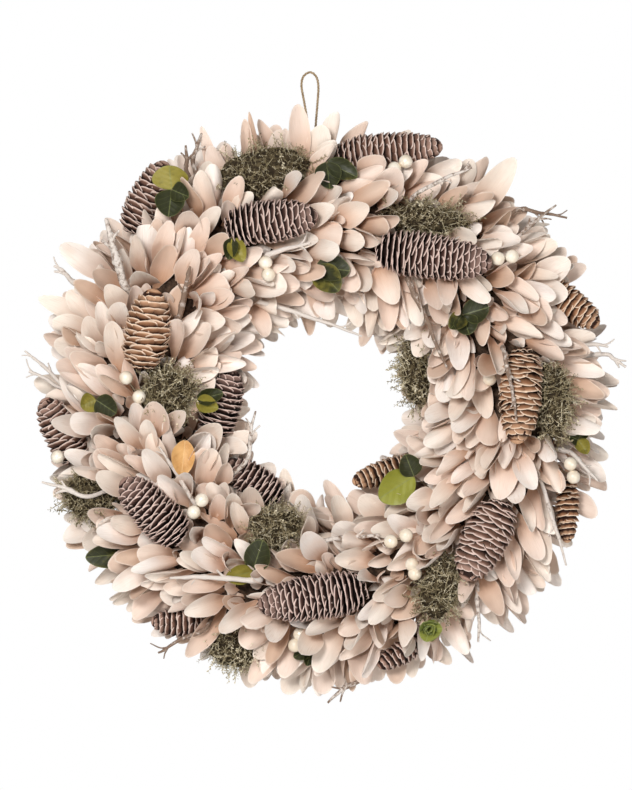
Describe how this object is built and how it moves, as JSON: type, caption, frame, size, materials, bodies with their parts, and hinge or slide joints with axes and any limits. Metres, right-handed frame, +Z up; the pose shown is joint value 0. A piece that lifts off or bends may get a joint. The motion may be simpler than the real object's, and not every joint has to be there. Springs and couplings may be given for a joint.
{
  "type": "christmas wreath",
  "caption": "Round hanging wreath of pale wood-shaving petals with cones, moss, box leaves, ivory beads and twigs on a straw ring, with a twine loop.",
  "frame": {"origin": "inside of the top of the twine loop, where a nail or a hook holds it", "axes": "+Z up, +X to the viewer's right, front faces -Y, +Y runs into the wall"},
  "size_m": [0.3931, 0.0742, 0.4167],
  "materials": {
    "petal_wood": "matt pale wood shaving, cream to pinkish beige",
    "cone_brown": "matt pinkish brown scales",
    "cone_dark": "matt dark brown scales with greyed tips",
    "cone_tan": "matt orange tan scales",
    "moss": "dry olive moss",
    "box_leaf": "waxy dark green to yellow green leaf",
    "lime_leaf": "waxy lime green leaf",
    "orange_leaf": "dry orange leaf",
    "bead_ivory": "pearly ivory gloss",
    "straw": "wound natural straw",
    "twine": "natural twisted twine"
  },
  "bodies": {
    "root": {"bead_10": "bead_ivory", "bead_11": "bead_ivory", "beads_01": "bead_ivory", "beads_02": "bead_ivory", "beads_03": "bead_ivory", "beads_04": "bead_ivory", "beads_05": "bead_ivory", "beads_06": "bead_ivory", "beads_07": "bead_ivory", "beads_08": "bead_ivory", "beads_09": "bead_ivory", "box_sprig_01": "box_leaf", "box_sprig_02": "box_leaf", "box_sprig_03": "box_leaf", "box_sprig_04": "box_leaf", "box_sprig_05": "box_leaf", "box_sprig_06": "box_leaf", "box_sprig_07": "box_leaf", "box_sprig_08": "box_leaf", "box_sprig_09": "box_leaf", "box_sprig_10": "box_leaf", "box_sprig_11": "box_leaf", "box_sprig_12": "box_leaf", "cone_01": "cone_brown", "cone_02": "cone_dark", "cone_03": "cone_brown", "cone_04": "cone_dark", "cone_05": "cone_tan", "cone_06": "cone_tan", "cone_07": "cone_brown", "cone_08": "cone_tan", "cone_09": "cone_tan", "cone_10": "cone_dark", "cone_11": "cone_brown", "cone_12": "cone_dark", "cone_13": "cone_brown", "cone_14": "cone_tan", "cone_15": "cone_dark", "cone_16": "cone_dark", "cone_17": "cone_brown", "hanging_loop": "twine", "lime_rosette": "lime_leaf", "moss_01": "moss", "moss_02": "moss", "moss_03": "moss", "moss_04": "moss", "moss_05": "moss", "moss_06": "moss", "moss_07": "moss", "moss_08": "moss", "moss_09": "moss", "orange_leaf": "orange_leaf", "petal_bunch_1": "petal_wood", "petal_bunch_2": "petal_wood", "petal_bunch_3": "petal_wood", "petal_bunch_4": "petal_wood", "petal_bunch_5": "petal_wood", "petal_bunch_6": "petal_wood", "straw_ring": "straw", "string_binding": "twine"}
  },
  "joints": []
}
